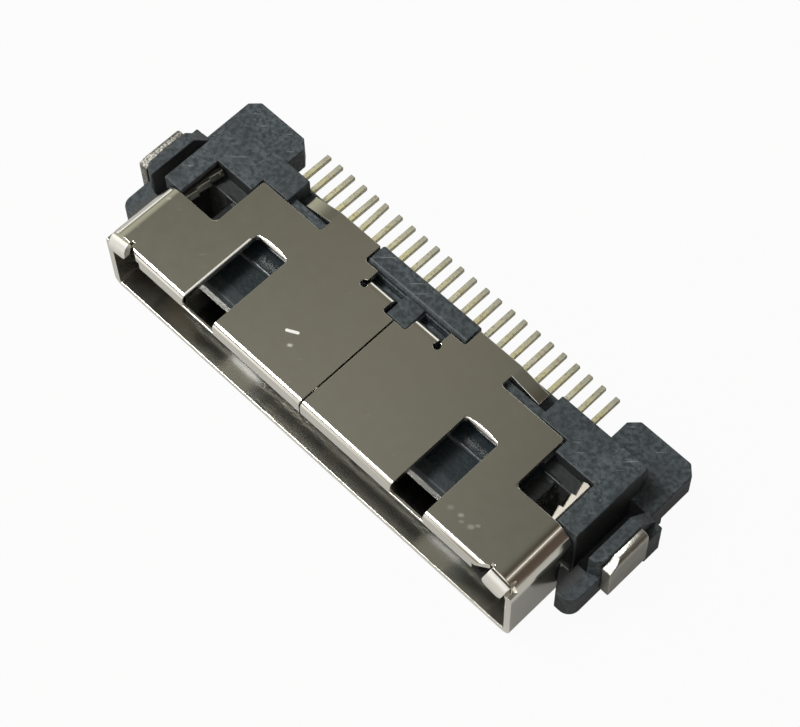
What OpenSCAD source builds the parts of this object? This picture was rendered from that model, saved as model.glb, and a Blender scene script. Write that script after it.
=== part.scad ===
// Charging port connector: a folded metal shell round a moulded insulator with a row of contacts.
// x runs along the mouth, y runs back from the mouth to the tails, z is up from the underside.

/* [Shell] */
// Width of the shell across the mouth
shell_w = 16.05; // [15.9:0.05:16.4]
// Height of the shell
shell_h = 2.9; // [2.8:0.05:3.2]
// Thickness of the shell's sheet
sheet_t = 0.22; // [0.18:0.01:0.25]
// Outside radius of the two upper bends
top_bend_r = 0.7; // [0.5:0.05:0.8]
// Outside radius of the two lower bends
low_bend_r = 0.3; // [0.26:0.02:0.5]
// Depth of the side walls and side tabs
tab_depth = 2.38; // [2.2:0.02:2.6]
// Depth of the top plate out to the stepped rear edge
step_depth = 4.3; // [4.2:0.02:4.4]
// Depth of the top plate in its middle
plate_depth = 5.13; // [5:0.01:5.2]
// Depth of the floor plate
floor_depth = 4.6; // [4.4:0.05:4.8]
// Distance from the shell's side to the notch's inner edge
notch_w = 2.12; // [2:0.01:2.3]
// Radius left in the punched corners
punch_r = 0.1; // [0.05:0.01:0.15]

/* [Seam and windows] */
// Width of the butt seam
seam_gap = 0.05; // [0.03:0.01:0.08]
// Depth of the seam from the mouth
seam_depth = 3.68; // [3.5:0.02:3.8]
// Distance between the two latch windows
window_span = 7.02; // [6.8:0.02:7.3]
// Width of a latch window
window_w = 1.23; // [1.1:0.01:1.3]
// Depth of a latch window from the mouth
window_depth = 2.93; // [2.7:0.01:3]
// Side of the thin bridge that closes a window at the mouth
bridge_t = 0.09; // [0.07:0.01:0.12]

/* [Hold-down strips] */
// Distance between the roots of the two strips
strip_span = 7.1; // [7:0.05:7.2]
// Width of a strip
strip_w = 0.43; // [0.35:0.01:0.5]
// Length of a strip
strip_l = 1.1; // [0.9:0.05:1.2]
// Angle by which a strip droops
strip_droop = 16; // [10:1:18]

/* [Centre cut-out] */
// Width of the cut-out for the centre bar
bar_cut_w = 3.94; // [3.8:0.02:4.1]
// Depth of the cut-out for the centre bar, from the plate's rear edge
bar_cut_d = 0.63; // [0.55:0.01:0.7]
// Width across both bent tabs
bent_span = 2.86; // [2.7:0.02:3]
// Distance between the two bent tabs
bent_gap = 0.9; // [0.8:0.05:1]
// Distance from the mouth to the bend of the tabs
bent_y = 3.95; // [3.9:0.01:4]
// Length of the straight part of a bent tab
bent_l = 0.2; // [0.1:0.02:0.3]
// Radius of the relief at the root of a bent tab
root_r = 0.12; // [0.1:0.01:0.14]

/* [Mouth lips] */
// Length of the straight rim of the top plate
rim_w = 13.34; // [13.2:0.02:13.5]
// Outside radius of the bend along the rim
rim_r = 0.2; // [0.1:0.01:0.24]
// Height of the bent-down rim below the top plate
rim_drop = 0.29; // [0.2:0.01:0.34]
// Inside radius of the bent lips and tabs
curl_r = 0.12; // [0.1:0.01:0.16]
// Width of a lip
lip_w = 0.72; // [0.66:0.02:0.76]
// Distance from the shell's side to the lip's inner edge
lip_in = 0.9; // [0.88:0.01:0.94]
// Distance from the mouth to the line where a lip starts to bend
lip_back = 0.22; // [0.18:0.01:0.26]
// Length of the straight part of a lip
lip_l = 0.14; // [0.1:0.01:0.18]
// Radius of a lip's lower corners
lip_r = 0.2; // [0.14:0.01:0.24]
// Angle by which a lip slopes down towards the shell's side
lip_tilt = 14; // [10:1:16]
// Width of the relief beside a lip and beside a bent tab
relief_w = 0.09; // [0.06:0.01:0.12]
// Height of the corner that is cut away beside a lip
corner_drop = 0.45; // [0.4:0.01:0.5]

/* [Retention fingers] */
// Width of a finger at its root
finger_w = 0.14; // [0.12:0.01:0.18]
// Length of a finger behind the side tab
finger_l = 1.46; // [1.3:0.02:1.5]
// Teeth on a finger
finger_teeth = 3; // [2:1:4]
// Height of a tooth
tooth_d = 0.12; // [0.08:0.01:0.14]
// Depth of a finger below the plate's upper face
finger_drop = 0.1; // [0.04:0.01:0.14]
// Angle by which a finger slopes down towards the shell's side
finger_tilt = 25; // [15:1:28]

/* [Contacts] */
// Pitch of the contacts
pitch = 0.5; // [0.48:0.01:0.5]
// Width of a contact on the tongue
blade_w = 0.26; // [0.22:0.01:0.3]
// Width of a contact's tail
tail_w = 0.17; // [0.14:0.01:0.2]
// Thickness of the contact strip
contact_t = 0.15; // [0.12:0.01:0.18]
// Distance from the mouth to the tail tips
tail_end = 6.72; // [6.65:0.01:6.9]
// Height of the joggle from blade to tail
joggle = 0.26; // [0.2:0.01:0.3]
// Distance from the mouth to the joggle
joggle_y = 4.3; // [4.1:0.05:4.5]

/* [Insulator] */
// Clearance between the insulator and the parts it holds
fit_gap = 0.02; // [0.01:0.005:0.04]
// Distance from the mouth to the tongue's front edge
tongue_front = 1.05; // [0.95:0.01:1.2]
// Height of the tongue's top above the underside
tongue_top = 2.1; // [2:0.02:2.2]
// Rise of the thicker part of the tongue
tongue_rise = 0.1; // [0.06:0.01:0.14]
// Distance from the mouth to the tongue's thicker part
rise_y = 2.42; // [2.3:0.02:2.5]
// Tongue beyond the outermost contact, from its middle line
tongue_margin = 0.7; // [0.6:0.02:0.8]
// Chamfer along the tongue's front edge
tongue_nose = 0.1; // [0.06:0.01:0.14]
// Distance from the mouth to the wall behind the plug
core_front = 3.5; // [3.4:0.02:3.6]
// Distance from the shell's rear edge to the insulator's rear face
core_over = 0.32; // [0.24:0.01:0.45]
// Depth of the sloped rear edge
rear_slope = 0.4; // [0.3:0.02:0.45]

/* [Side blocks] */
// Amount by which a side block stands out past the shell
block_proud = 0.08; // [0.04:0.01:0.1]
// Distance from the shell's rear edge to the side block's rear face
block_over = 0.12; // [0.04:0.01:0.2]
// Half of the distance between the two blocks behind the plate
block_rear_in = 4.96; // [4.85:0.01:5]
// Width of the wall outside the pocket
pocket_wall = 0.72; // [0.68:0.01:0.8]
// Distance from the mouth to the pocket's rear face
pocket_back = 3.87; // [3.85:0.01:3.95]
// Depth of the ledge in the pocket
ledge_d = 0.47; // [0.4:0.01:0.55]
// Depth of the ledge below the block's top
ledge_drop = 0.5; // [0.4:0.02:0.6]

/* [Outer walls] */
// Width of the slot between side block and outer wall
slot_w = 0.52; // [0.45:0.01:0.6]
// Thickness of the outer wall
wall_t = 0.4; // [0.35:0.01:0.45]
// Distance from the mouth to the outer wall's front end
wall_front = 2.33; // [2.28:0.01:2.4]
// Distance from the mouth to the outer wall's rear end
wall_back = 4.65; // [4.6:0.01:4.8]
// Height of the outer wall's top above the underside
wall_top = 2.5; // [2.4:0.02:2.6]
// Height of the outer wall's lower edge above the underside
wall_low = 0.45; // [0.35:0.02:0.55]
// Radius of the front corners of outer wall and shelf
wall_r = 0.38; // [0.3:0.01:0.4]
// Distance from the mouth to the low shelf's front face
shelf_front = 1.3; // [1.2:0.01:1.4]
// Height of the shelf's top above the underside
shelf_top = 1.6; // [1.5:0.02:1.7]
// Height of the shelf's lower edge above the underside
shelf_low = 0.62; // [0.5:0.02:0.7]
// Width of the slanted face at the shelf's inner corner
slant_w = 0.4; // [0.34:0.02:0.46]
// Depth of the slanted face at the shelf's inner corner
slant_d = 0.56; // [0.5:0.02:0.6]
// Thickness of the shelf between its slanted face and the slot
bridge_l = 0.16; // [0.12:0.02:0.2]
// Width of the slot's narrow front end
bay_w = 0.26; // [0.2:0.02:0.3]
// Thickness of the slot's floor
slot_floor = 0.4; // [0.3:0.02:0.5]
// Amount by which the rear boss stands out past the outer wall
boss_proud = 0.25; // [0.2:0.01:0.28]

/* [Ears] */
// Height of the board seat above the underside
board_z = 1.8; // [1.76:0.01:1.86]
// Thickness of the ears
ear_t = 0.95; // [0.85:0.01:1.05]
// Half of the distance between the two ears
ear_in = 6.44; // [6.4:0.01:6.55]
// Distance from the middle to an ear's outer side
ear_out = 8.84; // [8.75:0.01:8.95]
// Distance from the mouth to the ears' rear edge
ear_back = 6.63; // [6.55:0.01:6.7]
// Chamfer of the ears' rear corners
ear_chamfer = 0.29; // [0.2:0.01:0.35]

/* [Board clips] */
// Thickness of a board clip
clip_t = 0.3; // [0.25:0.01:0.34]
// Distance from the mouth to the clip's front edge
clip_front = 2.45; // [2.4:0.01:2.5]
// Length of the clip along the connector's side
clip_l = 1.53; // [1.45:0.01:1.55]
// Height of the clip's top above the underside
clip_top = 2.45; // [2.35:0.01:2.5]
// Height of the clip's lower edge above the underside
clip_low = 0.9; // [0.8:0.01:1]
// Radius of the clip's upper bend
clip_r = 0.22; // [0.15:0.01:0.24]
// Length of the slope at the clip's upper front corner
clip_slope_l = 0.52; // [0.4:0.02:0.6]
// Height of the slope at the clip's upper front corner
clip_slope_d = 0.22; // [0.15:0.01:0.3]
// Length of the tab that is pressed through the outer wall
clip_tab_l = 0.6; // [0.5:0.02:0.7]

/* [Hidden] */
$fn = 64;
NODE_CONTACTS = 24;

past = 1;
half_w = shell_w / 2;
plate_low = shell_h - sheet_t;
step_x = half_w - notch_w;
floor_half = half_w - low_bend_r - sheet_t;
curl_out = curl_r + sheet_t;
lip_x = half_w - lip_in;
strip_x = strip_span / 2;
strip_y = plate_depth - strip_w;
bar_cut_y = plate_depth - bar_cut_d;

row_half = (NODE_CONTACTS - 1) / 2 * pitch;
blade_low = board_z - joggle - contact_t;
blade_tip = tongue_front + tongue_nose;
joggle_end = joggle_y + joggle;
joggle_turn = 45;
bevel_shift = contact_t * tan(joggle_turn / 2);
shoulder_y = joggle_end + contact_t;

core_back = plate_depth + core_over;
core_top = plate_low - fit_gap;
core_low = sheet_t;
tongue_half = row_half + tongue_margin;
block_in = step_x + 3 * fit_gap;
block_out = half_w + block_proud;
block_front = tab_depth + 2 * fit_gap;
block_back = plate_depth + block_over;
block_rear_y = step_depth + 2 * fit_gap;
block_top = shell_h - fit_gap;
pocket_out = block_out - pocket_wall;
slot_out = block_out + slot_w;
wall_out = slot_out + wall_t;
shelf_in = half_w + fit_gap;
slant_back = shelf_front + slant_d;
bay_front = slant_back + bridge_l;
wall_drop_y = clip_front + clip_l + 2 * fit_gap;
boss_top = board_z - fit_gap;
finger_out = pocket_out - fit_gap;
heel_y = floor_depth + fit_gap;
strip_bay_z = plate_low - sheet_t - strip_l * sin(strip_droop) + fit_gap;
bent_bay_z = plate_low - curl_r - bent_l - 2 * fit_gap;
clip_in = wall_out + fit_gap;
clip_mid_y = clip_front + clip_l / 2;
clip_mid_z = (clip_low + clip_top) / 2;

front_y = lip_back - curl_out;
middle_y = (front_y + tail_end) / 2;

function contact_name(i) = str("contact_", i < 10 ? "0" : "", i);
function contact_x(i) = (i - (NODE_CONTACTS + 1) / 2) * pitch;

// Puts the middle of the connector's footprint at the origin
module centred() {
    translate([0, -middle_y, 0]) children();
}

module both_sides() {
    children();
    mirror([1, 0, 0]) children();
}

module box(x0, x1, y0, y1, z0, z1) {
    translate([x0, y0, z0]) cube([x1 - x0, y1 - y0, z1 - z0]);
}

// Extrudes an outline in y and z along x
module along_x(x0, x1) {
    translate([x0, 0, 0]) rotate([90, 0, 90]) linear_extrude(x1 - x0) children();
}

// Extrudes an outline in x and z along y
module along_y(y0, y1) {
    translate([0, y1, 0]) rotate([90, 0, 0]) linear_extrude(y1 - y0) children();
}

// Extrudes an outline in x and y along z
module along_z(z0, z1) {
    translate([0, 0, z0]) linear_extrude(z1 - z0) children();
}

// A rectangle with round corners, from one corner to the other
module punch(x0, x1, y0, y1) {
    translate([x0 + punch_r, y0]) square([x1 - x0 - 2 * punch_r, y1 - y0]);
    translate([x0, y0 + punch_r]) square([x1 - x0, y1 - y0 - 2 * punch_r]);
    for (x = [x0 + punch_r, x1 - punch_r], y = [y0 + punch_r, y1 - punch_r])
        translate([x, y]) circle(punch_r);
}

// The shell's section across the mouth, drawn inward by a distance
module bent_outline(inset) {
    side = half_w - inset;
    low = inset;
    top = shell_h - inset;
    top_r = top_bend_r - inset;
    low_r = low_bend_r - inset;
    translate([-side, low + low_r]) square([2 * side, top - top_r - low - low_r]);
    translate([-side + top_r, top - top_r]) square([2 * (side - top_r), top_r]);
    translate([-side + low_r, low]) square([2 * (side - low_r), low_r]);
    for (s = [-1, 1]) {
        translate([s * (side - top_r), top - top_r]) circle(top_r);
        translate([s * (side - low_r), low + low_r]) circle(low_r);
    }
}

// Sheet that bends down by a right angle towards the mouth and ends in a straight part
module bent_sheet(width, straight) {
    mirror([0, 1, 0]) translate([width / 2, 0, 0]) rotate([0, -90, 0])
        rotate_extrude(angle = 90) translate([curl_r, 0]) square([sheet_t, width]);
    box(-width / 2, width / 2, -curl_out, -curl_r, -straight, 0);
}

// What is punched out of the right half of the top plate
module top_punching() {
    punch(step_x, half_w + past, tab_depth, plate_depth + past);
    punch(strip_x, half_w + past, step_depth, plate_depth + past);
    punch(window_span / 2, window_span / 2 + window_w, -past, window_depth);
    punch(-bar_cut_w / 2, bar_cut_w / 2, bar_cut_y, plate_depth + past);
    punch(-bent_span / 2, bent_span / 2, bent_y, plate_depth);
    punch(-bent_gap / 2, bent_gap / 2, seam_depth, plate_depth);
    translate([bent_span / 2, bent_y]) circle(root_r);
}

// What is cut away in front of the right lip, up to the straight rim and the side wall
module lip_clearance() {
    along_z(shell_h - corner_drop, shell_h + past)
        polygon([
            [rim_w / 2, -past], [rim_w / 2, 0], [lip_x - relief_w, lip_back],
            [lip_x - relief_w, lip_back + relief_w], [lip_x, lip_back + relief_w],
            [lip_x, lip_back], [lip_x + lip_w, lip_back], [lip_x + lip_w, lip_back + relief_w],
            [half_w + past, lip_back + relief_w], [half_w + past, -past]
        ]);
}

// What the bend along the rim takes off the top plate's front edge
module rim_rounding() {
    along_x(-lip_x + relief_w, lip_x - relief_w) translate([rim_r, shell_h - rim_r]) difference() {
        translate([-rim_r - past, 0]) square(rim_r + past);
        circle(rim_r);
    }
}

// The bent-down rim on the right of the seam, with the thin bridge that closes the window
module bent_rim() {
    window_out = window_span / 2 + window_w;
    low = plate_low - rim_drop;
    box(seam_gap / 2, window_span / 2, 0, sheet_t, low, plate_low + bridge_t / 2);
    box(window_out, rim_w / 2 - punch_r, 0, sheet_t, low, plate_low + bridge_t / 2);
    box(window_span / 2 - punch_r, window_out + punch_r, 0, bridge_t, low, low + bridge_t);
}

// One bent lip in the corner of the mouth, sloping with the upper bend
module lip() {
    side = lip_w / 2;
    translate([lip_x, lip_back, shell_h]) rotate([0, lip_tilt, 0]) translate([side, 0, -curl_out])
        intersection() {
            union() {
                bent_sheet(lip_w, lip_l);
                box(-side, side, 0, sheet_t, curl_r, curl_out);
            }
            along_y(-past, past) {
                translate([-side, lip_r - lip_l]) square([lip_w, curl_out + lip_l - lip_r]);
                translate([lip_r - side, -lip_l]) square([lip_w - 2 * lip_r, lip_r]);
                for (s = [-1, 1]) translate([s * (side - lip_r), lip_r - lip_l]) circle(lip_r);
            }
        }
}

// The strip beside the centre cut-out, drooping towards its free end
module hold_down_strip() {
    translate([strip_x, strip_y, shell_h]) rotate([0, strip_droop, 0])
        translate([0, 0, -sheet_t]) cube([strip_l, strip_w, sheet_t]);
}

// The tab beside the seam, bent down into the insulator
module bent_tab() {
    width = (bent_span - bent_gap) / 2 - relief_w;
    mid = (bent_span + bent_gap) / 4 - relief_w / 2;
    translate([mid, bent_y, plate_low - curl_r]) mirror([0, 1, 0]) bent_sheet(width, bent_l);
}

// The barbed finger along the outer side of the pocket
module retention_finger() {
    step = finger_l / finger_teeth;
    side = finger_w + tooth_d;
    barbs = [for (k = [finger_teeth - 1 : -1 : 0])
        each [[tooth_d, tab_depth + (k + 1) * step],
              [0, tab_depth + (k + 1) * step - tooth_d / 2],
              [tooth_d, tab_depth + k * step]]];
    translate([finger_out - side, 0, shell_h - finger_drop]) rotate([0, finger_tilt, 0]) along_z(-sheet_t, 0)
        polygon(concat([[side, tab_depth - sheet_t], [side, tab_depth + finger_l]],
            barbs, [[tooth_d, tab_depth - sheet_t]]));
}

module shell() {
    color([0.72, 0.71, 0.67]) centred() {
        difference() {
            along_y(0, plate_depth) bent_outline(0);
            along_y(-past, plate_depth + past) bent_outline(sheet_t);
            along_z(shell_h / 2, shell_h + past) {
                both_sides() top_punching();
                translate([-seam_gap / 2, -past]) square([seam_gap, past + seam_depth + punch_r]);
            }
            rim_rounding();
            both_sides() {
                lip_clearance();
                box(step_x, half_w + past, tab_depth, plate_depth + past, sheet_t, shell_h);
                box(floor_half, half_w + past, tab_depth, plate_depth + past, -past, shell_h);
            }
            box(-half_w, half_w, floor_depth, plate_depth + past, -past, shell_h / 2);
        }
        both_sides() {
            bent_rim();
            lip();
            hold_down_strip();
            bent_tab();
            retention_finger();
        }
    }
}

// A contact with its joggle, grown by a distance on every side for the channel that holds it
module contact_form(grow) {
    low = blade_low - grow;
    top = blade_low + contact_t + grow;
    tail_low = low + joggle;
    tail_top = top + joggle;
    along_x(-blade_w / 2 - grow, blade_w / 2 + grow)
        polygon([
            [blade_tip - grow + contact_t / 2, low], [joggle_y, low],
            [joggle_end, tail_low], [shoulder_y + grow, tail_low],
            [shoulder_y + grow, tail_top], [joggle_end - bevel_shift, tail_top],
            [joggle_y - bevel_shift, top], [blade_tip - grow, top],
            [blade_tip - grow, low + contact_t / 2]
        ]);
    along_x(-tail_w / 2 - grow, tail_w / 2 + grow)
        polygon([
            [shoulder_y, tail_low], [tail_end + grow, tail_low],
            [tail_end + grow, tail_top], [shoulder_y, tail_top]
        ]);
}

module contact(i) {
    color([0.78, 0.66, 0.33]) centred() translate([contact_x(i), 0, 0]) contact_form(0);
}

// The tongue that the plug slides over
module tongue() {
    high = tongue_top + tongue_rise;
    intersection() {
        along_x(-tongue_half, tongue_half)
            polygon([
                [tongue_front, blade_low + tongue_nose], [tongue_front + tongue_nose, blade_low],
                [core_front + past, blade_low], [core_front + past, high],
                [rise_y + tongue_rise / 2, high], [rise_y, tongue_top],
                [tongue_front + tongue_nose, tongue_top], [tongue_front, tongue_top - tongue_nose]
            ]);
        along_z(0, shell_h)
            polygon([
                [-tongue_half, core_front + past], [tongue_half, core_front + past],
                [tongue_half, tongue_front + tongue_nose * 2], [tongue_half - tongue_nose, tongue_front],
                [-tongue_half + tongue_nose, tongue_front], [-tongue_half, tongue_front + tongue_nose * 2]
            ]);
    }
}

// The body behind the plug, with its heel behind the shell's floor
module core() {
    along_x(-block_in, block_in)
        polygon([
            [core_front, core_low], [heel_y, core_low], [heel_y, 0], [core_back, 0],
            [core_back, board_z + contact_t], [core_back - rear_slope, core_top],
            [core_front, core_top]
        ]);
}

// The bar that fills the cut-out at the plate's rear edge, with the post between the bent tabs
module centre_bar() {
    half = bar_cut_w / 2 - 3 * fit_gap;
    front = bar_cut_y + 3 * fit_gap;
    edge = 4 * fit_gap;
    post_half = bent_gap / 2 - 4 * fit_gap;
    along_x(-half, half)
        polygon([
            [front, core_top - past], [core_back - rear_slope / 2, core_top - past],
            [core_back - rear_slope / 2, shell_h - edge], [core_back - rear_slope / 2 - edge, shell_h],
            [front + edge, shell_h], [front, shell_h - edge]
        ]);
    box(-post_half, post_half, seam_depth + 4 * fit_gap, front + edge, core_top - past, plate_low + edge);
}

// The block beside the plate's notch, with the pocket that takes the retention finger
module side_block() {
    box(block_in, block_out, pocket_back, block_back, core_low, block_top);
    box(block_rear_in, block_in + pocket_wall, block_rear_y, block_back, core_low, block_top);
    box(pocket_out, block_out, block_front, pocket_back + past, core_low, block_top);
    box(block_in, pocket_out + pocket_wall / 2, pocket_back - ledge_d, pocket_back + ledge_d,
        core_low, block_top - ledge_drop);
}

// The outline of the low shelf and of the wall behind it, round the slot
module shelf_outline() {
    polygon([
        [shelf_in, slant_back], [shelf_in + slant_w, shelf_front], [wall_out - wall_r, shelf_front],
        [wall_out - wall_r, shelf_front + wall_r], [wall_out, shelf_front + wall_r],
        [wall_out, wall_back], [slot_out, wall_back], [slot_out, wall_front],
        [shelf_in + bay_w, wall_front], [shelf_in + bay_w, bay_front], [shelf_in, bay_front]
    ]);
    translate([wall_out - wall_r, shelf_front + wall_r]) circle(wall_r);
}

// The wall outside the slot, with the shelf in front, the slot's floor and the rear boss
module outer_wall() {
    along_z(shelf_low, shelf_top) shelf_outline();
    intersection() {
        box(slot_out, wall_out, wall_front, wall_front + wall_r, shelf_top, wall_top);
        along_z(shelf_top, wall_top) translate([wall_out - wall_r, wall_front + wall_r]) circle(wall_r);
    }
    along_x(slot_out, wall_out)
        polygon([
            [wall_front + wall_r, shelf_low + slot_floor], [wall_front + wall_r, wall_top],
            [wall_drop_y, wall_top], [wall_back, board_z], [wall_back, wall_low], [wall_drop_y, wall_low]
        ]);
    box(block_out - wall_t / 2, slot_out + wall_t / 2, block_front, block_back,
        wall_low, wall_low + slot_floor);
    box(wall_out - wall_t / 2, wall_out + boss_proud, wall_drop_y, wall_back, wall_low, boss_top);
}

// The ear that lies against the board
module ear() {
    along_z(board_z - ear_t, board_z)
        polygon([
            [ear_in, wall_back], [ear_out, wall_back], [ear_out, ear_back - ear_chamfer],
            [ear_out - ear_chamfer, ear_back], [ear_in + ear_chamfer, ear_back],
            [ear_in, ear_back - ear_chamfer]
        ]);
}

module housing() {
    color([0.11, 0.12, 0.13]) centred() difference() {
        union() {
            tongue();
            core();
            centre_bar();
            both_sides() {
                side_block();
                outer_wall();
                ear();
            }
        }
        both_sides() {
            box(strip_x - sheet_t, block_rear_in, strip_y - 2 * fit_gap, core_back + past,
                strip_bay_z, shell_h + past);
            box(bent_gap / 2 - fit_gap, bent_span / 2 + relief_w, bent_y - sheet_t, bar_cut_y + fit_gap,
                bent_bay_z, shell_h + past);
            box(slot_out - wall_t / 2, wall_out + wall_t / 2, clip_mid_y - clip_tab_l / 2 - fit_gap,
                clip_mid_y + clip_tab_l / 2 + fit_gap, clip_mid_z - clip_t / 2 - fit_gap,
                clip_mid_z + clip_t / 2 + fit_gap);
        }
        for (i = [1 : NODE_CONTACTS])
            translate([contact_x(i), 0, 0]) contact_form(fit_gap);
    }
}

// The soldered clip on the outer wall, with the tab that is pressed through it
module board_clip() {
    color([0.66, 0.66, 0.62]) centred() {
        intersection() {
            along_y(clip_front, clip_front + clip_l) {
                translate([clip_in, clip_low]) square([clip_t, clip_top - clip_low - clip_r]);
                translate([clip_in, clip_low]) square([clip_t - clip_r, clip_top - clip_low]);
                translate([clip_in + clip_t - clip_r, clip_top - clip_r]) circle(clip_r);
            }
            along_x(wall_out, clip_in + clip_t)
                polygon([
                    [clip_front, clip_low], [clip_front + clip_l, clip_low],
                    [clip_front + clip_l, clip_top], [clip_front + clip_slope_l, clip_top],
                    [clip_front, clip_top - clip_slope_d]
                ]);
        }
        box(slot_out, clip_in + clip_t / 2, clip_mid_y - clip_tab_l / 2, clip_mid_y + clip_tab_l / 2,
            clip_mid_z - clip_t / 2, clip_mid_z + clip_t / 2);
    }
}

shell();
housing();
mirror([1, 0, 0]) board_clip();  // left_board_clip
board_clip();  // right_board_clip
for (i = [1 : NODE_CONTACTS])
    contact(i);
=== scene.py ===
import math

import bmesh
import bpy
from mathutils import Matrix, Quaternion, Vector


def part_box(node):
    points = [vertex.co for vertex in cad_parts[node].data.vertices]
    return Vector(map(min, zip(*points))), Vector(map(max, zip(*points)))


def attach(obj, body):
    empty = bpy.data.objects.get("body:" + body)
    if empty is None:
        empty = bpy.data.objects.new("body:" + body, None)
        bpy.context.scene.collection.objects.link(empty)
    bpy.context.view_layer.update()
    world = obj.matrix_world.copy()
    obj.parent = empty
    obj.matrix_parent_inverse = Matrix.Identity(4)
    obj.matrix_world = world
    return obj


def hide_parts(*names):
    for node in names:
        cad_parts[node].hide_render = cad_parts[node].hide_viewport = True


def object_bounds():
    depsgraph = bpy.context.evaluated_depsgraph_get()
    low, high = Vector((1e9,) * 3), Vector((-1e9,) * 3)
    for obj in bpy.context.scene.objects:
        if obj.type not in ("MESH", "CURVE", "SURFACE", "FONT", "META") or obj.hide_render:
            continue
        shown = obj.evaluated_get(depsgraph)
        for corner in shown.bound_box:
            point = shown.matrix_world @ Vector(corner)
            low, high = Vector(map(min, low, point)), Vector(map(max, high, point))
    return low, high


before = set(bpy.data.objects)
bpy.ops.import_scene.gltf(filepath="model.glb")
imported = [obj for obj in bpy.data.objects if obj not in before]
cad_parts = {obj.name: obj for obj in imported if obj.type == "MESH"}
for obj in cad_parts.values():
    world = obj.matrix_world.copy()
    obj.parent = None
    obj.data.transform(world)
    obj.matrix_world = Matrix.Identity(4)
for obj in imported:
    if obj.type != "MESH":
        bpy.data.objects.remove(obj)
cad_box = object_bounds()

# The insulator is one black moulding: tongue, wall behind the plug, side blocks, outer walls and ears.
# The glass in the plastic shows as a pale, mottled grain, and handling has left light scratches on it.
# The shell is pushed over it from the front, and all other pieces are held by it.
mm = 0.001
before_mouth = cad_box[0].y - 0.08 * mm
tongue_x, tongue_y, polished_y = (0, 6.6 * mm), (before_mouth, 0.22 * mm), (-1.75 * mm, 0.22 * mm)
tongue_top_y, tongue_top_z = (-1.5 * mm, 0.2 * mm), 1.7 * mm
pocket_x, pocket_y, pocket_z = (5.95 * mm, 7.40 * mm), (before_mouth, 0.585 * mm), (0, 2.86 * mm)
slot_x, slot_y, slot_z = (8.09 * mm, 8.64 * mm), (-2.0 * mm, 1.36 * mm), (0, 2.8 * mm)
moulded_edge, tongue_edge = 0.04 * mm, 0.07 * mm
resin = (0.021, 0.030, 0.035)
pale_resin = (0.073, 0.090, 0.100)
shaded_resin = (0.022, 0.028, 0.032)
bare_glass = (0.12, 0.132, 0.14)
scratched_resin = (0.22, 0.235, 0.24)
# The tongue's colours are partly unrubbed resin and partly painted shade under the shell.
tongue_resin_and_shade = (0.018, 0.026, 0.030)
tongue_glass_and_shade = (0.09, 0.10, 0.10)
# Painted shade: the pocket and slot colours stand for the shade that falls in those recesses.
pocket_painted_shade = (0.015, 0.017, 0.018)
slot_painted_shade = (0.05, 0.055, 0.055)


class Value:
    """A number or a colour in a shader; sums and products of it add Math nodes."""

    def __init__(self, finish, socket):
        self.finish, self.socket = finish, socket

    def _math(self, operation, *values):
        return self.finish.add("ShaderNodeMath", {"operation": operation}, dict(enumerate(values)))

    def __add__(self, other):
        return self._math("ADD", self, other)

    def __sub__(self, other):
        return self._math("SUBTRACT", self, other)

    def __rsub__(self, other):
        return self._math("SUBTRACT", other, self)

    def __mul__(self, other):
        return self._math("MULTIPLY", self, other)

    __radd__, __rmul__ = __add__, __mul__

    def __abs__(self):
        return self._math("ABSOLUTE", self)

    def most(self, other):
        return self._math("MAXIMUM", self, other)

    def within(self, low, high):
        """1 from low to high, and 0 outside."""
        return self._math("COMPARE", self, (low + high) / 2, (high - low) / 2)


class Finish:
    """The shader of a material, or of the room."""

    def __init__(self, owner):
        owner.use_nodes = True
        self.tree = owner.node_tree
        self.tree.nodes.clear()

    def add(self, kind, settings, values, out=0):
        node = self.tree.nodes.new(kind)
        for name, setting in settings.items():
            setattr(node, name, setting)
        for key, value in values.items():
            if isinstance(value, Value):
                self.tree.links.new(value.socket, node.inputs[key])
            else:
                node.inputs[key].default_value = value
        return Value(self, node.outputs[out])

    def place(self):
        return self.add("ShaderNodeTexCoord", {}, {}, "Object")

    def noise(self, at, grain, detail=2, stretch=(1, 1, 1), turn=0):
        """Noise whose grains have about that size in metres, drawn out along the axes of stretch."""
        turned = {"Vector": at, "Rotation": (0, 0, turn)}
        moved = self.add("ShaderNodeMapping", {"vector_type": "TEXTURE"}, turned)
        sized = self.vector("MULTIPLY", moved, [1 / grain / longer for longer in stretch])
        return self.add("ShaderNodeTexNoise", {}, {"Vector": sized, "Scale": 1.0, "Detail": detail})

    def vector(self, operation, *values, out=0):
        return self.add("ShaderNodeVectorMath", {"operation": operation}, dict(enumerate(values)), out)

    def along(self, at, *axes):
        """How far a place or a direction reaches along each of the axes."""
        return [self.vector("DOT_PRODUCT", at, axis, out="Value") for axis in axes]

    def step(self, value, low, high):
        """0 below low, 1 above high, smooth in between; the other way round where low is the higher one."""
        ends = {"Value": value, "From Min": low, "From Max": high}
        return self.add("ShaderNodeMapRange", {"interpolation_type": "SMOOTHSTEP"}, ends)

    def blend(self, mask, below, above):
        """The colour below where the mask is 0, and above where it is 1."""
        below, above = (tint if isinstance(tint, Value) else (*tint, 1) for tint in (below, above))
        return self.add("ShaderNodeMix", {"data_type": "RGBA"}, {0: mask, 6: below, 7: above}, 2)

    def coat(self, tint, roughness, height, depth, **others):
        """The surface of the piece, in that tint and roughness, and uneven by height times depth."""
        relief = self.add("ShaderNodeBump", {}, {"Height": height, "Distance": depth, "Strength": 1.0})
        sockets = {"Base Color": tint, "Roughness": roughness, "Normal": relief, **others}
        self.surface(self.add("ShaderNodeBsdfPrincipled", {}, sockets))

    def surface(self, shader, target="ShaderNodeOutputMaterial"):
        node = self.tree.nodes.new(target)
        self.tree.links.new(shader.socket, node.inputs["Surface"])


same_place = 0.0001 * mm
flat_turn, sharp_turn, level_turn = math.radians(0.6), math.radians(30), math.radians(35)


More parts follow.
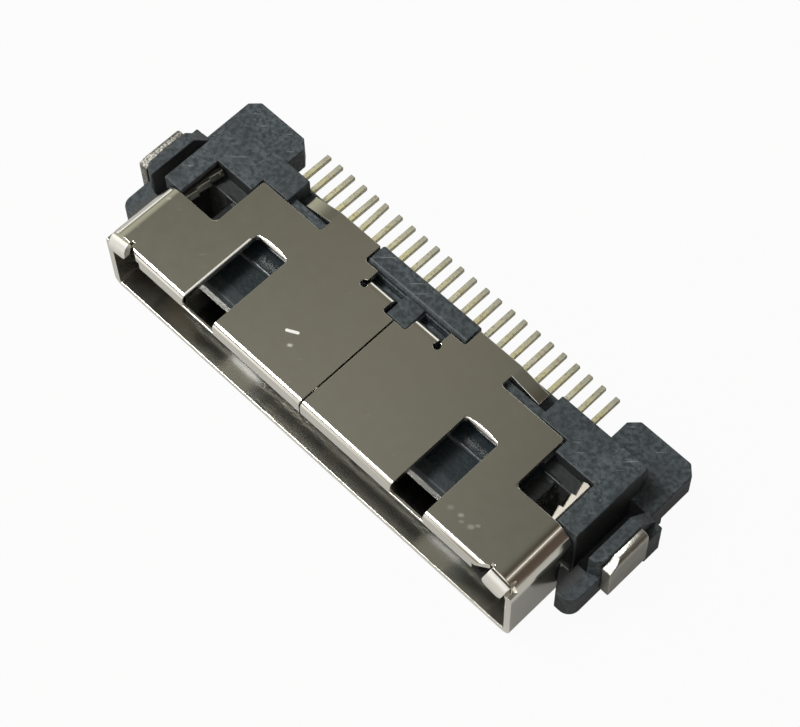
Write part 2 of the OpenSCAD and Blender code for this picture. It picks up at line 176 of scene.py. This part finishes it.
def relieved_copy(node, name, round_off, hollow=lambda edge: 0, cuts=lambda edge: 0):
    """A copy of a CAD node, with radii on its outer edges by round_off and on its inner ones by hollow.

    Before that, each edge is cut as many times as cuts says.
    """
    form = bmesh.new()
    form.from_mesh(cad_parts[node].data)
    bmesh.ops.remove_doubles(form, verts=form.verts, dist=same_place)
    bmesh.ops.dissolve_limit(form, angle_limit=flat_turn, verts=form.verts, edges=form.edges)
    for edge in list(form.edges):
        start, end = edge.verts
        for parts in range(cuts(edge) + 1, 1, -1):
            other, start = bmesh.utils.edge_split(edge, start, 1 / parts)
            edge = edge if end in edge.verts else other
    weights = form.edges.layers.float.new("bevel_weight_edge")
    widest = 0
    for edge in form.edges:
        edge.smooth = True
        if len(edge.link_faces) == 2 and edge.calc_face_angle() > sharp_turn:
            radius = round_off(edge) if edge.is_convex else hollow(edge)
            edge[weights] = radius
            edge.smooth = radius > 0
            widest = max(widest, radius)
    for edge in form.edges:
        edge[weights] /= widest
    for face in form.faces:
        face.smooth = True
    mesh = bpy.data.meshes.new(name)
    form.to_mesh(mesh)
    form.free()
    piece = bpy.data.objects.new(name, mesh)
    bpy.context.scene.collection.objects.link(piece)
    bevel = piece.modifiers.new("round_off", "BEVEL")
    bevel.limit_method = "WEIGHT"
    bevel.width = widest
    bevel.segments = 3
    bevel.use_clamp_overlap = False
    bevel.loop_slide = False
    settled(piece)
    even_shading(piece.data)
    return piece


def settled(piece):
    """Works the piece's modifiers into its mesh."""
    bpy.context.view_layer.update()
    ready = bpy.data.meshes.new_from_object(piece.evaluated_get(bpy.context.evaluated_depsgraph_get()))
    ready.name = piece.name
    piece.modifiers.clear()
    piece.data = ready


def even_shading(mesh):
    """Keeps flat faces flat and bends smooth: at a corner, the wider of the nearly level faces prevail."""
    form = bmesh.new()
    form.from_mesh(mesh)
    width = [face.calc_area() / face.calc_perimeter() for face in form.faces]
    nearly = math.cos(level_turn)
    corners = [None] * len(mesh.loops)
    for face in form.faces:
        for loop in face.loops:
            total = Vector()
            for other in loop.vert.link_faces:
                if other.normal.dot(face.normal) > nearly:
                    total += other.normal * width[other.index] ** 2
            corners[loop.index] = total.normalized()
    form.free()
    mesh.normals_split_custom_set(corners)


moulded = bpy.data.materials.new("moulded_black_plastic")
skin = Finish(moulded)
at = skin.place()
x, y, z = skin.along(at, (1, 0, 0), (0, 1, 0), (0, 0, 1))
tongue = abs(x).within(*tongue_x) * y.within(*tongue_y)
polish = tongue * y.within(*polished_y)
pocket_shade_mask = abs(x).within(*pocket_x) * y.within(*pocket_y) * z.within(*pocket_z)
slot_shade_mask = abs(x).within(*slot_x) * y.within(*slot_y) * z.within(*slot_z)
cloud = skin.noise(at, 1.1 * mm, 3)
grain = skin.noise(at, 0.14 * mm, 4)
fleck = skin.step(skin.noise(at, 0.1 * mm), 0.58, 0.70)
rub = skin.step(skin.noise(at, 0.09 * mm, 2, (9, 1, 1), 0.75), 0.64, 0.72)
patch = skin.step(cloud, 0.40, 0.62)
tone = skin.blend(skin.step(grain, 0.34, 0.66), resin, pale_resin)
tone = skin.blend(fleck * (0.15 + patch * 0.5), tone, bare_glass)
tone = skin.blend(skin.step(cloud, 0.62, 0.38) * 0.45, tone, shaded_resin)
tone = skin.blend(rub * patch * 0.8, tone, scratched_resin)
# The tongue under the shell is darker and less flecked: partly unrubbed resin, partly painted shade.
tone = skin.blend(tongue, tone, skin.blend(fleck * 0.1, tongue_resin_and_shade, tongue_glass_and_shade))
# Painted shade: the pockets and the side slots are painted near black where shade falls in them.
tone = skin.blend(pocket_shade_mask, tone, pocket_painted_shade)
tone = skin.blend(slot_shade_mask, tone, slot_painted_shade)
skin.coat(tone, 0.42 + 0.2 * grain - 0.22 * polish, grain + fleck * 0.1, 0.012 * mm, IOR=1.5)


def moulded_radius(edge):
    """The moulding's edges are fine, and rounder on top of the tongue."""
    middle = (edge.verts[0].co + edge.verts[1].co) / 2
    front, rear = tongue_top_y
    on_tongue = abs(middle.x) < tongue_x[1] and front < middle.y < rear and middle.z > tongue_top_z
    return tongue_edge if on_tongue else moulded_edge


housing = relieved_copy("housing", "insulator", moulded_radius)
housing.data.materials.append(moulded)
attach(housing, "root")
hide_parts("housing")

# Twenty-four contacts are stamped from thin copper alloy strip and plated with gold over nickel.
# Each is pressed into its channel under the tongue, and its tail stands out behind at the board's height.
# The row is one pattern; real tails never stand quite parallel, and the sixth was bent a little.
contact_names = sorted(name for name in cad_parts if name.startswith("contact_"))
first_low, first_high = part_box(contact_names[0])
second_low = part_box(contact_names[1])[0]
strip_edge = 0.022 * mm
gold_end_y = (2.5 * mm, 3.5 * mm)
thick_gold = (0.80, 0.75, 0.47)
thin_gold = (0.79, 0.77, 0.60)
bare_nickel = (0.58, 0.57, 0.47)
brown_speck = (0.40, 0.36, 0.22)

gilt = bpy.data.materials.new("gold_plated_strip")
skin = Finish(gilt)
at = skin.place()
worn = skin.step(skin.noise(at, 0.5 * mm, 3), 0.38, 0.66)
drawn = skin.noise(at, 0.05 * mm, 2, (1, 6, 1))
speckle = skin.step(skin.noise(at, 0.07 * mm), 0.52, 0.66)
tint = skin.blend(worn, thick_gold, thin_gold)
tint = skin.blend(skin.step(skin.along(at, (0, 1, 0))[0], *gold_end_y), tint, bare_nickel)
tint = skin.blend(speckle * 0.65, tint, brown_speck)
skin.coat(tint, 0.40 + 0.16 * drawn, drawn, 0.004 * mm, Metallic=1.0)

single = relieved_copy(contact_names[0], "contact_row", lambda edge: strip_edge)
single.data.materials.append(gilt)

row = bpy.data.node_groups.new("row_of_contacts", "GeometryNodeTree")
row.interface.new_socket("Contact", in_out="INPUT", socket_type="NodeSocketGeometry")
row_sizes = {
    "Count": ("Int", len(contact_names)),
    "Pitch": ("Float", second_low.x - first_low.x),
    "Tail Root": ("Float", 1.6 * mm),
    "Tail End": ("Float", first_high.y),
    "Tail Curve": ("Float", 1.6),
    "Wander": ("Float", 0.02 * mm),
    "Bend": ("Float", -0.07 * mm),
    "Seed": ("Int", 3),
    "Material": ("Material", gilt)}
for label, (kind, size) in row_sizes.items():
    row.interface.new_socket(label, in_out="INPUT", socket_type=f"NodeSocket{kind}")
row.interface.new_socket("Row", in_out="OUTPUT", socket_type="NodeSocketGeometry")


def join(kind, settings, values):
    """Adds a node to the row's tree, with its settings, and its inputs set or linked."""
    node = row.nodes.new(kind)
    for name, setting in settings.items():
        setattr(node, name, setting)
    for key, value in values.items():
        if isinstance(value, bpy.types.NodeSocket):
            row.links.new(value, node.inputs[key])
        else:
            node.inputs[key].default_value = value
    return node.outputs


given = join("NodeGroupInput", {}, {})
spacing = join("ShaderNodeCombineXYZ", {}, {"X": given["Pitch"]})
line = join("GeometryNodeMeshLine", {}, {"Count": given["Count"], "Offset": spacing[0]})
stood = join("GeometryNodeInstanceOnPoints", {}, {"Points": line[0], "Instance": given["Contact"]})
number = join("GeometryNodeInputIndex", {}, {})
chance = join("FunctionNodeRandomValue", {"data_type": "FLOAT"}, {
    2: -1.0, 3: 1.0, "ID": number[0], "Seed": given["Seed"]})
sixth = join("FunctionNodeCompare", {"data_type": "INT", "operation": "EQUAL"}, {2: number[0], 3: 5})
lean = join("ShaderNodeMath", {"operation": "MULTIPLY"}, {0: chance[1], 1: given["Wander"]})
bent = join("ShaderNodeMath", {"operation": "MULTIPLY"}, {0: sixth[0], 1: given["Bend"]})
swerve = join("ShaderNodeMath", {"operation": "ADD"}, {0: lean[0], 1: bent[0]})
kept = join("GeometryNodeStoreNamedAttribute", {"data_type": "FLOAT", "domain": "INSTANCE"}, {
    "Geometry": stood[0], "Name": "swerve", "Value": swerve[0]})
real = join("GeometryNodeRealizeInstances", {}, {"Geometry": kept[0]})
place = join("GeometryNodeInputPosition", {}, {})
parts = join("ShaderNodeSeparateXYZ", {}, {0: place[0]})
reach = join("ShaderNodeMapRange", {}, {
    "Value": parts["Y"], "From Min": given["Tail Root"], "From Max": given["Tail End"]})
curve = join("ShaderNodeMath", {"operation": "POWER"}, {0: reach[0], 1: given["Tail Curve"]})
stored = join("GeometryNodeInputNamedAttribute", {"data_type": "FLOAT"}, {"Name": "swerve"})
aside = join("ShaderNodeMath", {"operation": "MULTIPLY"}, {0: curve[0], 1: stored[0]})
shift = join("ShaderNodeCombineXYZ", {}, {"X": aside[0]})
moved = join("GeometryNodeSetPosition", {}, {"Geometry": real[0], "Offset": shift[0]})
coated = join("GeometryNodeSetMaterial", {}, {"Geometry": moved[0], "Material": given["Material"]})
join("NodeGroupOutput", {}, {"Row": coated[0]})

pattern = single.modifiers.new("row", "NODES")
pattern.node_group = row
for item in row.interface.items_tree:
    if item.name in row_sizes:
        pattern[item.identifier] = row_sizes[item.name][1]
settled(single)
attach(single, "root")
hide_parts(*contact_names)

# The shell is stamped from thin steel strip, folded round the mouth with a seam on top, and nickel plated.
# The punch rolls the sheet's upper edges over, most of all behind the latch windows. Pale, rough nickel on
# the left window's edge, the lips and the rim is painted highlight. Barbed fingers and bent tabs hold the
# shell in the insulator.
top = cad_box[1].z
near = 0.01 * mm
long_edge = 0.5 * mm
sheet_middle = top - 0.15 * mm
window_mid, window_half, notch_x = 4.125 * mm, 0.615 * mm, 5.91 * mm
crescent_cuts, crescent_ends, crescent_swell = 9, 0.035 * mm, 0.085 * mm
notch_edge, rubbed_edge, sheet_edge = 0.18 * mm, 0.035 * mm, 0.018 * mm
top_face_z = (top - 0.05 * mm, top + 0.05 * mm)
lip_x, lip_y, lip_z = (7.05 * mm, 7.87 * mm), (before_mouth, -3.14 * mm), (2.2 * mm, 2.95 * mm)
rim_y, rim_z, rim_glint_x = (before_mouth, -3.3 * mm), (2.3 * mm, 2.86 * mm), (1.5 * mm, 5.5 * mm)
warm_nickel = (0.92, 0.89, 0.815)
cool_nickel = (0.89, 0.875, 0.81)
# Pale nickel for real marks and for painted highlights.
rubbed_and_highlit_nickel = (0.93, 0.92, 0.88)


def on_top(edge):
    """Whether an edge lies in the top plate's upper face."""
    return edge.verts[0].co.z + edge.verts[1].co.z > 2 * top - near


def off_window(edge):
    """How far the middle of an edge lies to a side of its window's middle, whichever window it is."""
    return abs(edge.verts[0].co.x + edge.verts[1].co.x) / 2 - window_mid


def rear_of_window(edge):
    """Whether an edge lies in the top plate's upper face behind a latch window."""
    if not on_top(edge) or abs(off_window(edge)) > window_half:
        return False
    return any(face.normal.y < -0.2 for face in edge.link_faces)


def rear_cuts(edge):
    """Long edges behind a window are cut up, so that their roll-over can swell and fade."""
    return crescent_cuts if edge.calc_length() > long_edge and rear_of_window(edge) else 0


def notch_corner(edge):
    """The radius of an upright edge at a corner of the notch over the retention finger, or else 0."""
    a, b = (vert.co for vert in edge.verts)
    upright = abs(a.z - b.z) > 0.9 * edge.calc_length() and (a.z + b.z) / 2 > sheet_middle
    return notch_edge if upright and abs(abs(a.x) - notch_x) < 2 * near else 0


def punched_radius(edge):
    """The roll-over of a punched edge: a crescent behind a window, wider beside the left one, else fine."""
    if notch_corner(edge):
        return notch_corner(edge)
    if rear_of_window(edge):
        return crescent_ends + crescent_swell * (1 - (off_window(edge) / window_half) ** 2)
    start = edge.verts[0].co
    rubbed = on_top(edge) and abs(start.x + window_mid + window_half) < 10 * near and start.y < 0
    return rubbed_edge if rubbed else sheet_edge


nickel = bpy.data.materials.new("polished_nickel")
skin = Finish(nickel)
at = skin.place()
x, y, z = skin.along(at, (1, 0, 0), (0, 1, 0), (0, 0, 1))
wave = skin.noise(at, 3.2 * mm)
haze = skin.noise(at, 0.35 * mm, 4)
hair = skin.step(skin.noise(at, 0.03 * mm, 2, (14, 1, 1), 0.9), 0.73, 0.80)


def stroke(start, end, radius, blur):
    """1 inside a stroke over the plate, in millimetres, and 0 outside; blur softens its rim."""
    a, b = Vector((*start, 0)) * mm, Vector((*end, 0)) * mm
    run = b - a
    flat = skin.vector("MULTIPLY", at, (1, 1, 0))
    away = skin.vector("SUBTRACT", flat, a)
    share = skin.vector("DOT_PRODUCT", away, run / run.length_squared, out="Value")
    share = skin.add("ShaderNodeClamp", {}, {"Value": share})
    nearest = skin.add("ShaderNodeVectorMath", {"operation": "SCALE"}, {0: run, "Scale": share})
    gap = skin.vector("DISTANCE", away, nearest, out="Value")
    return 1 - skin.step(gap, radius * (1 - blur) * mm, radius * (1 + blur) * mm)


# Each speck is a short, slanting stroke: its start and radius in millimetres, and its strength.
specks = (((-1.51, -2.21), 0.05, 0.4), ((5.46, -2.59), 0.05, 0.25), ((5.89, -2.65), 0.06, 0.22),
          ((6.0, -2.5), 0.04, 0.2), ((5.1, -2.62), 0.06, 0.12), ((5.6, -2.72), 0.04, 0.15),
          ((-7.47, -1.31), 0.04, 0.3))
marks_and_highlights = stroke((-1.90, -1.92), (-1.61, -1.77), 0.045, 0.25)
for (right, rear), radius, strength in specks:
    marks_and_highlights = marks_and_highlights.most(strength * stroke((right, rear), (right + 0.04, rear + 0.03), radius, 0.8))
# Painted highlights: the strokes along the left window's edge, on the lips and on the rim's right part are
# pale, rough nickel standing in for glints; the specks and the first stroke are real marks.
window_edge = stroke((-4.775, -3.15), (-4.775, -0.62), 0.035, 0.5)
lips = abs(x).within(*lip_x) * y.within(*lip_y) * z.within(*lip_z)
rim = y.within(*rim_y) * z.within(*rim_z) * skin.step(x, *rim_glint_x)
marks_and_highlights = marks_and_highlights.most(0.6 * window_edge) * z.within(*top_face_z)
marks_and_highlights = marks_and_highlights.most(0.55 * lips).most(0.5 * rim)
tint = skin.blend(wave, warm_nickel, cool_nickel)
# Real marks and painted highlights both turn pale, rough and less metallic here.
tint = skin.blend(marks_and_highlights, tint, rubbed_and_highlit_nickel)
rough = (0.13 + 0.05 * haze + 0.10 * hair).most(marks_and_highlights * 0.75)
skin.coat(tint, rough, wave + haze * 0.02, 0.004 * mm, Metallic=1.0 - marks_and_highlights * 0.8)

shell = relieved_copy("shell", "plated_shell", punched_radius, notch_corner, rear_cuts)
shell.data.materials.append(nickel)
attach(shell, "root")
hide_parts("shell")

# The two board clips are stamped from tinned steel and pressed through the outer walls, to be soldered on.
# The tinning is a little uneven, and on the left one it has gone dull and mottled.
clip_edge = 0.03 * mm
left_clip_x = (-9.5 * mm, -8.9 * mm)
grey_tin = (0.42, 0.41, 0.36)
light_tin = (0.55, 0.54, 0.50)
dull_tin = (0.13, 0.125, 0.11)

tinned = bpy.data.materials.new("tinned_steel")
skin = Finish(tinned)
at = skin.place()
cloud = skin.noise(at, 0.4 * mm, 3)
pit = skin.noise(at, 0.06 * mm, 3)
dull = skin.along(at, (1, 0, 0))[0].within(*left_clip_x)
tint = skin.blend(cloud, grey_tin, light_tin)
tint = skin.blend(dull * skin.step(pit, 0.66, 0.36), tint, dull_tin)
skin.coat(tint, 0.3 + 0.15 * pit + 0.25 * dull, cloud + pit * 0.3, 0.02 * mm, Metallic=1.0)
for side in ("left", "right"):
    node = f"{side}_board_clip"
    clip = relieved_copy(node, f"{side}_clip", lambda edge: clip_edge)
    clip.data.materials.append(tinned)
    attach(clip, "root")
    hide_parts(node)

# The connector stands on a white table under one soft lamp, in a room that is pale in front and on the left.
# The camera looks down at it from in front and from the right. Its place, turn and lens were solved from
# points of the photograph.
table_radius, table_drop = 250 * mm, 0.01 * mm
lamp_way, lamp_distance = Vector((-0.42, -0.25, 0.87)).normalized(), 150 * mm
window_way = Vector((0.52, 0.31, 0.796)).normalized()
brown_way = Vector((-0.22, -0.93, 0.30)).normalized()

bpy.ops.mesh.primitive_circle_add(
    vertices=96, radius=table_radius, fill_type="NGON", location=(0, 0, -table_drop))
table = bpy.context.object
table.name = "table"


def white_share(to_camera, in_metal):
    """How much plain white there is to the camera, and in metal and glass, which mirror a darker room."""
    seen, mirrored, through = (skin.add("ShaderNodeLightPath", {}, {}, f"Is {kind} Ray")
                               for kind in ("Camera", "Glossy", "Transmission"))
    return seen * to_camera + (mirrored + through) * in_metal


white = bpy.data.materials.new("white_table")
skin = Finish(white)
paper = skin.add("ShaderNodeBsdfDiffuse", {}, {"Color": (0.45, 0.45, 0.43, 1)})
glow = skin.add("ShaderNodeEmission", {}, {"Color": (1, 1, 1, 1), "Strength": 1.0})
skin.surface(skin.add("ShaderNodeMixShader", {}, {0: white_share(0.95, 0.12), 1: paper, 2: glow}))
table.data.materials.append(white)

world = bpy.data.worlds.new("pale_room")
bpy.context.scene.world = world
skin = Finish(world)
way = skin.add("ShaderNodeTexCoord", {}, {}, "Generated")
across, back, up, window, brown = skin.along(
    way, (1, 0, 0), (0, 1, 0), (0, 0, 1), window_way, brown_way)
left_wall = skin.blend(skin.step(up, 0.25, 0.42), (0.16, 0.16, 0.12), (0.38, 0.38, 0.29))
front_wall = skin.blend(skin.step(across, -0.24, -0.34), (0.4, 0.36, 0.31), (1.0, 0.98, 0.95))
high_in_front = skin.step(back, -0.12, -0.26) * skin.step(up, 0.5, 0.65)
high_in_middle = high_in_front * skin.step(across, -0.34, -0.29) * skin.step(across, 0.5, 0.3)
low_on_left = skin.step(across, -0.86, -0.94) * skin.step(up, 0.16, 0.08)
room = skin.blend(skin.step(across, -0.47, -0.36), (0.072, 0.067, 0.044), (0.128, 0.122, 0.090))
for mask, colour in (
        (skin.step(across, -0.33, -0.25), (0.072, 0.067, 0.048)),  # ceiling beyond its pale strip
        (skin.step(back, 0.36, 0.265) * 0.08, (0.5, 0.5, 0.45)),  # ceiling's paler front
        (skin.step(across, -0.08, 0.2), (0.028, 0.020, 0.006)),  # ceiling on the right
        (skin.step(across, 0.62, 0.9), (0.055, 0.027, 0.013)),  # right wall
        (skin.step(window, 0.965, 0.996), (0.24, 0.195, 0.155)),  # glow round the window
        (skin.step(window, 0.9978, 0.9994), (1.55, 1.5, 1.43)),  # window
        (skin.step(across, -0.52, -0.80), left_wall),
        (skin.step(back, 0.80, 0.90), (1.1, 1.1, 1.05)),  # rear wall
        (skin.step(back, -0.66, -0.80), front_wall),
        (high_in_middle, (1.2, 1.2, 1.2)),
        (skin.step(brown, 0.985, 0.993), (0.14, 0.09, 0.06)),  # brown patch on the front wall
        (low_on_left, (1.3, 1.3, 1.3)),
        (white_share(1.0, 0.04), (1, 1, 1))):
    room = skin.blend(mask, room, colour)
skin.surface(skin.add("ShaderNodeBackground", {}, {"Color": room, "Strength": 1.0}), "ShaderNodeOutputWorld")

lamp_data = bpy.data.lights.new("soft_lamp", "AREA")
lamp_data.size = 50 * mm
lamp_data.energy = 0.16
lamp = bpy.data.objects.new("soft_lamp", lamp_data)
bpy.context.scene.collection.objects.link(lamp)
lamp.location = lamp_way * lamp_distance
lamp.rotation_mode = "QUATERNION"
lamp.rotation_quaternion = lamp_way.to_track_quat("Z", "Y")

camera_data = bpy.data.cameras.new("camera")
camera_data.lens = 103.27
camera_data.sensor_width = 36
camera_data.clip_start = 1 * mm
camera = bpy.data.objects.new("camera", camera_data)
bpy.context.scene.collection.objects.link(camera)
camera.location = (0.0228504, -0.0210857, 0.0585313)
camera.rotation_mode = "QUATERNION"
camera.rotation_quaternion = Quaternion((0.89682201, 0.22311655, 0.1002509, 0.36861774))
bpy.context.scene.camera = camera
bpy.context.scene.view_settings.view_transform = "Standard"
